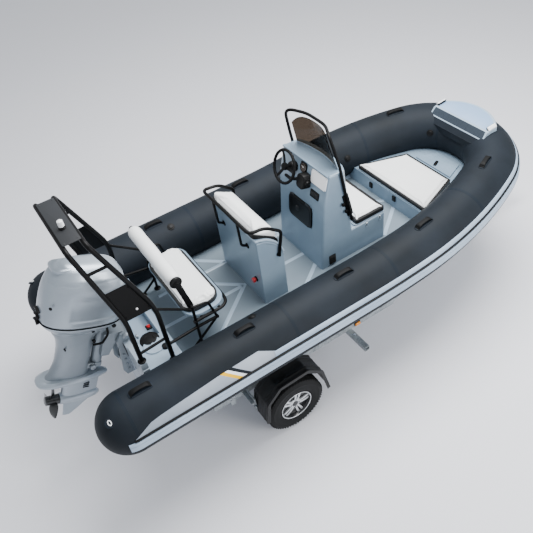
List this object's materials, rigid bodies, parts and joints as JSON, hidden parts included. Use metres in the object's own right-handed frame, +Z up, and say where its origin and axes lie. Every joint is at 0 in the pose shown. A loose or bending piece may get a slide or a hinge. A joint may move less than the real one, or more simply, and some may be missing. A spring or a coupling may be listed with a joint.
{
  "type": "inflatable rib boat",
  "caption": "Rigid inflatable boat with centre console, bench, arch and raised outboard motor, parked on its road trailer; motor, wheels, hatches and seat back move.",
  "frame": {"origin": "on the ground under the middle of the whole, trailer included", "axes": "+X towards the bow and the trailer's coupling, +Y to port, +Z up"},
  "size_m": [5.5914, 2.124, 2.38],
  "materials": {
    "tube_fabric": "satin",
    "hull_gelcoat": "gloss",
    "deck_grp": "matte",
    "moulding_grp": "gloss",
    "transom_board": "gloss",
    "strake_rubber": "satin",
    "cushion_vinyl": "matte",
    "black_tube": "satin",
    "black_plastic": "satin",
    "tinted_acrylic": "polished",
    "stainless": "polished",
    "handle_rubber": "matte",
    "grey_plate": "satin",
    "motor_silver": "gloss",
    "motor_casting": "satin",
    "engine_block": "satin",
    "propeller_metal": "satin",
    "galvanised": "satin",
    "axle_black": "satin",
    "tyre_rubber": "matte",
    "rim_alloy": "gloss",
    "mudguard_plastic": "satin",
    "bunk_timber": "matte",
    "roller_rubber": "matte",
    "lamp_plastic": "gloss"
  },
  "bodies": {
    "boat_and_trailer": {"tube_collar": "tube_fabric", "hull": "hull_gelcoat", "deck": "deck_grp", "transom": "transom_board", "aft_deck": "moulding_grp", "bench_cushion": "cushion_vinyl", "bench_frame": "black_tube", "helm_seat_box": "moulding_grp", "helm_cushion": "cushion_vinyl", "helm_seat_rail": "black_tube", "console": "moulding_grp", "windscreen": "tinted_acrylic", "windscreen_rail": "black_tube", "dash_fittings": "black_plastic", "bow_locker": "moulding_grp", "bow_step": "moulding_grp", "bow_eye": "stainless", "strakes": "strake_rubber", "tube_handles": "handle_rubber", "arch_hoops": "black_tube", "arch_plate": "grey_plate", "clamp_brackets": "motor_casting", "trailer_rails": "galvanised", "trailer_cross_tubes": "galvanised", "trailer_axle": "axle_black", "mudguards": "mudguard_plastic", "bunks": "bunk_timber", "trailer_brackets": "galvanised", "keel_rollers": "roller_rubber", "winch_post": "galvanised", "coupling_head": "galvanised", "jockey_sleeve": "galvanised", "lamps": "lamp_plastic"},
    "console_door": {"console_door": "black_plastic"},
    "seat_lid": {"console_seat_lid": "moulding_grp", "console_cushion": "cushion_vinyl"},
    "bow_hatch": {"bow_lid": "moulding_grp", "bow_cushion": "cushion_vinyl"},
    "anchor_hatch": {"anchor_hatch": "moulding_grp"},
    "backrest": {"backrest_arms": "black_plastic", "backrest_roll": "cushion_vinyl"},
    "steering_wheel": {"steering_wheel": "black_plastic"},
    "swivel": {"swivel_bracket": "motor_casting"},
    "motor": {"motor_midsection": "motor_casting", "motor_pan": "motor_silver", "motor_block": "engine_block", "motor_cowl": "motor_silver", "motor_lower_unit": "motor_casting"},
    "propeller": {"propeller": "propeller_metal"},
    "wheel_right": {"tyre_right": "tyre_rubber", "rim_right": "rim_alloy"},
    "wheel_left": {"tyre_left": "tyre_rubber", "rim_left": "rim_alloy"},
    "jockey_leg": {"jockey_leg": "galvanised"},
    "jockey_fork": {"jockey_fork": "galvanised"},
    "jockey_wheel": {"jockey_wheel": "tyre_rubber"}
  },
  "joints": [
    {"name": "motor_tilt", "type": "hinge", "parent": "boat_and_trailer", "child": "swivel", "pos_m": [-1.9913, 0, 1.125], "axis": [0, 1, 0], "range_deg": [-25, 14]},
    {"name": "motor_steer", "type": "hinge", "parent": "swivel", "child": "motor", "pos_m": [-2.1499, 0, 1.19896], "axis": [0.4226, 0, 0.9063], "range_deg": [-30, 30]},
    {"name": "propeller_spin", "type": "hinge", "parent": "motor", "child": "propeller", "pos_m": [-2.72127, 0, 0.74268], "axis": [0.9063, 0, -0.4226], "continuous": true},
    {"name": "steering_wheel_turn", "type": "hinge", "parent": "boat_and_trailer", "child": "steering_wheel", "pos_m": [-0.2113, 0.12, 1.795], "axis": [0.9272, 0, -0.3746], "range_deg": [-540, 540]},
    {"name": "console_door_hinge", "type": "hinge", "parent": "boat_and_trailer", "child": "console_door", "pos_m": [-0.18017, 0.18, 1.25059], "axis": [-0.0925, 0, -0.9957], "range_deg": [0, 105]},
    {"name": "seat_lid_hinge", "type": "hinge", "parent": "boat_and_trailer", "child": "seat_lid", "pos_m": [0.3537, 0.32, 1.1904], "axis": [-1, 0, 0], "range_deg": [0, 80]},
    {"name": "bow_hatch_hinge", "type": "hinge", "parent": "boat_and_trailer", "child": "bow_hatch", "pos_m": [1.3937, 0, 1.0604], "axis": [0, 1, 0], "range_deg": [0, 75]},
    {"name": "anchor_hatch_hinge", "type": "hinge", "parent": "boat_and_trailer", "child": "anchor_hatch", "pos_m": [1.6487, 0, 1.0604], "axis": [0, 1, 0], "range_deg": [0, 65]},
    {"name": "backrest_hinge", "type": "hinge", "parent": "boat_and_trailer", "child": "backrest", "pos_m": [-1.4963, 0, 1.39], "axis": [0, 1, 0], "range_deg": [0, 60]},
    {"name": "wheel_right_spin", "type": "hinge", "parent": "boat_and_trailer", "child": "wheel_right", "pos_m": [-1.0093, -0.915, 0.28], "axis": [0, 1, 0], "continuous": true},
    {"name": "wheel_left_spin", "type": "hinge", "parent": "boat_and_trailer", "child": "wheel_left", "pos_m": [-1.0093, 0.915, 0.28], "axis": [0, 1, 0], "continuous": true},
    {"name": "jockey_wind", "type": "slide", "parent": "boat_and_trailer", "child": "jockey_leg", "axis": [0, 0, 1], "range_m": [-0.1, 0.09]},
    {"name": "jockey_swivel", "type": "hinge", "parent": "jockey_leg", "child": "jockey_fork", "pos_m": [2.3437, 0.095, 0.23], "axis": [0, 0, 1], "continuous": true},
    {"name": "jockey_spin", "type": "hinge", "parent": "jockey_fork", "child": "jockey_wheel", "pos_m": [2.2887, 0.095, 0.1], "axis": [0, 1, 0], "continuous": true}
  ],
  "couplings": [
    {"joint": "steering_wheel_turn", "follows": "motor_steer", "ratio": 18}
  ]
}
